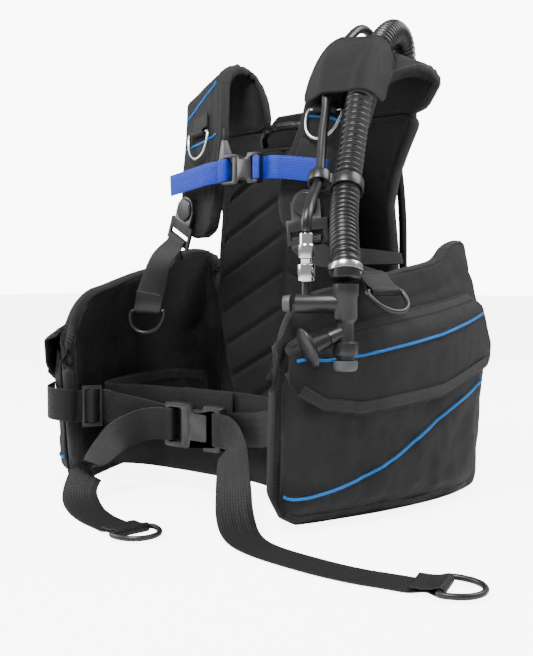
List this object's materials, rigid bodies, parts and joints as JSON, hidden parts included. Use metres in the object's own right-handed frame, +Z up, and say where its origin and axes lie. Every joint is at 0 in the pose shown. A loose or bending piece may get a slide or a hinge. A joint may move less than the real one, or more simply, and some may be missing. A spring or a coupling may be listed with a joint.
{
  "type": "buoyancy compensator vest",
  "caption": "Diver's buoyancy vest: back-mounted jacket with side pockets, tank band, shoulder and waist harness, corrugated hose and power inflator.",
  "frame": {"origin": "centre of the base of the vest's box without its two hoses, where it stands on a surface", "axes": "+Z up, -Y the way the wearer faces, +X the wearer's left"},
  "size_m": [0.6996, 0.5549, 0.59],
  "materials": {
    "nylon": "coated woven nylon, charcoal black",
    "lining": "smooth dark lining over foam",
    "webbing": "ribbed black webbing",
    "blue_webbing": "royal blue webbing",
    "moulded_plastic": "satin charcoal acetal",
    "grey_plastic": "matt grey plastic",
    "rubber": "semi-gloss black rubber",
    "chrome": "polished",
    "steel": "polished wire"
  },
  "bodies": {
    "vest": {"backplate": "moulded_plastic", "hose_elbow": "moulded_plastic", "hose_clip": "moulded_plastic", "left_swivel_base": "moulded_plastic", "right_swivel_base": "moulded_plastic", "waist_slider": "moulded_plastic", "waist_buckle_socket": "moulded_plastic", "sternum_buckle_socket": "moulded_plastic", "inflator_body": "moulded_plastic", "cam_buckle_frame": "moulded_plastic", "dump_valve": "moulded_plastic", "back_pad": "lining", "jacket_back": "nylon", "left_lobe": "nylon", "right_lobe": "nylon", "left_pocket": "nylon", "right_pocket": "nylon", "left_pocket_flap": "nylon", "left_shoulder_yoke": "nylon", "right_shoulder_yoke": "nylon", "left_cummerbund": "nylon", "right_cummerbund": "nylon", "waist_strap_left": "webbing", "waist_strap_right": "webbing", "waist_tail_left": "webbing", "left_ring_keeper": "webbing", "right_ring_keeper": "webbing", "left_shoulder_webbing": "webbing", "right_shoulder_webbing": "webbing", "left_pull_tail": "webbing", "tank_band": "webbing", "sternum_strap_left": "blue_webbing", "sternum_strap_right": "blue_webbing", "carry_handle": "rubber", "corrugated_hose": "rubber", "lp_hose": "rubber", "mouthpiece": "rubber", "lp_hose_fitting": "chrome", "quick_disconnect": "chrome", "hose_clamp": "steel"},
    "waist_release": {"waist_buckle_plug": "moulded_plastic", "waist_tail_right": "webbing"},
    "waist_ring_right": {"waist_ring_right": "moulded_plastic"},
    "waist_ring_left": {"waist_ring_left": "moulded_plastic"},
    "sternum_release": {"sternum_buckle_plug": "moulded_plastic"},
    "left_swivel": {"left_swivel_frame": "moulded_plastic"},
    "right_swivel": {"right_swivel_frame": "moulded_plastic", "right_pull_tail": "webbing"},
    "left_pull_ring": {"left_pull_ring": "moulded_plastic"},
    "right_pull_ring": {"right_pull_ring": "moulded_plastic"},
    "left_shoulder_ring": {"left_shoulder_d_ring": "steel"},
    "right_shoulder_ring": {"right_shoulder_d_ring": "steel"},
    "right_flap": {"right_pocket_flap": "nylon"},
    "sleeve": {"hose_sleeve": "nylon"},
    "inflate_button": {"inflate_button": "grey_plastic"},
    "deflate_button": {"deflate_button": "grey_plastic"},
    "disconnect_collar": {"disconnect_collar": "chrome"},
    "cam_lever": {"cam_lever": "moulded_plastic"},
    "dump_pull": {"dump_knob": "grey_plastic", "dump_cord": "webbing"}
  },
  "joints": [
    {"name": "waist_buckle", "type": "slide", "parent": "vest", "child": "waist_release", "axis": [-1, 0, 0], "range_m": [0, 0.03], "deforming": ["waist_strap_right"]},
    {"name": "waist_ring_right", "type": "hinge", "parent": "waist_release", "child": "waist_ring_right", "pos_m": [-0.0139, -0.2493, 0.00495], "axis": [-0.2, -0.9798, 0], "range_deg": [0, 80]},
    {"name": "waist_ring_left", "type": "hinge", "parent": "vest", "child": "waist_ring_left", "pos_m": [0.3141, -0.2022, 0.00495], "axis": [0.243, -0.97, 0], "range_deg": [0, 80]},
    {"name": "sternum_buckle", "type": "slide", "parent": "vest", "child": "sternum_release", "axis": [-1, 0, 0], "range_m": [0, 0.02], "deforming": ["sternum_strap_right"]},
    {"name": "left_swivel", "type": "hinge", "parent": "vest", "child": "left_swivel", "pos_m": [0.0276, -0.0021, 0.3515], "axis": [-0.225, 0.9744, 0], "range_deg": [-10, 10], "deforming": ["left_shoulder_webbing", "left_pull_tail"]},
    {"name": "right_swivel", "type": "hinge", "parent": "vest", "child": "right_swivel", "pos_m": [-0.1704, -0.0001, 0.3545], "axis": [0.225, 0.9744, 0], "range_deg": [-8, 8], "deforming": ["right_shoulder_webbing"]},
    {"name": "left_pull_ring", "type": "hinge", "parent": "vest", "child": "left_pull_ring", "pos_m": [0.1651, -0.0506, 0.2485], "axis": [-0.3522, -0.9359, 0], "range_deg": [0, 60]},
    {"name": "right_pull_ring", "type": "hinge", "parent": "right_swivel", "child": "right_pull_ring", "pos_m": [-0.2274, -0.0156, 0.2185], "axis": [0.8619, 0.507, 0], "range_deg": [-40, 40]},
    {"name": "left_shoulder_ring", "type": "hinge", "parent": "vest", "child": "left_shoulder_ring", "pos_m": [0.04343, 0.01682, 0.46438], "axis": [-0.9721, -0.2244, 0.0683], "range_deg": [0, 12]},
    {"name": "right_shoulder_ring", "type": "hinge", "parent": "vest", "child": "right_shoulder_ring", "pos_m": [-0.16233, 0.0175, 0.457], "axis": [-0.9729, 0.2246, -0.0551], "range_deg": [0, 60]},
    {"name": "right_pocket_flap", "type": "hinge", "parent": "vest", "child": "right_flap", "pos_m": [-0.30072, -0.00889, 0.22628], "axis": [-0.2326, 0.9544, 0.187], "range_deg": [0, 40]},
    {"name": "hose_sleeve", "type": "hinge", "parent": "vest", "child": "sleeve", "pos_m": [0.01669, 0.03449, 0.51055], "axis": [-0.0832, -0.4613, -0.8833], "range_deg": [0, 36]},
    {"name": "inflate_button", "type": "slide", "parent": "vest", "child": "inflate_button", "axis": [0.9023, 0.4311, 0], "range_m": [0, 0.004], "stiffness_N_per_m": 300},
    {"name": "deflate_button", "type": "slide", "parent": "vest", "child": "deflate_button", "axis": [0, 0, 1], "range_m": [0, 0.004], "stiffness_N_per_m": 300},
    {"name": "disconnect_collar", "type": "slide", "parent": "vest", "child": "disconnect_collar", "axis": [0, 0, 1], "range_m": [0, 0.004], "stiffness_N_per_m": 300, "springref_m": -0.0005},
    {"name": "cam_lever", "type": "hinge", "parent": "vest", "child": "cam_lever", "pos_m": [-0.0984, 0.2724, 0.2505], "axis": [0, 0, 1], "range_deg": [0, 100]},
    {"name": "dump_pull", "type": "slide", "parent": "vest", "child": "dump_pull", "axis": [0.2105, -0.1003, -0.9724], "range_m": [0, 0.01], "stiffness_N_per_m": 60, "springref_m": -0.003}
  ]
}
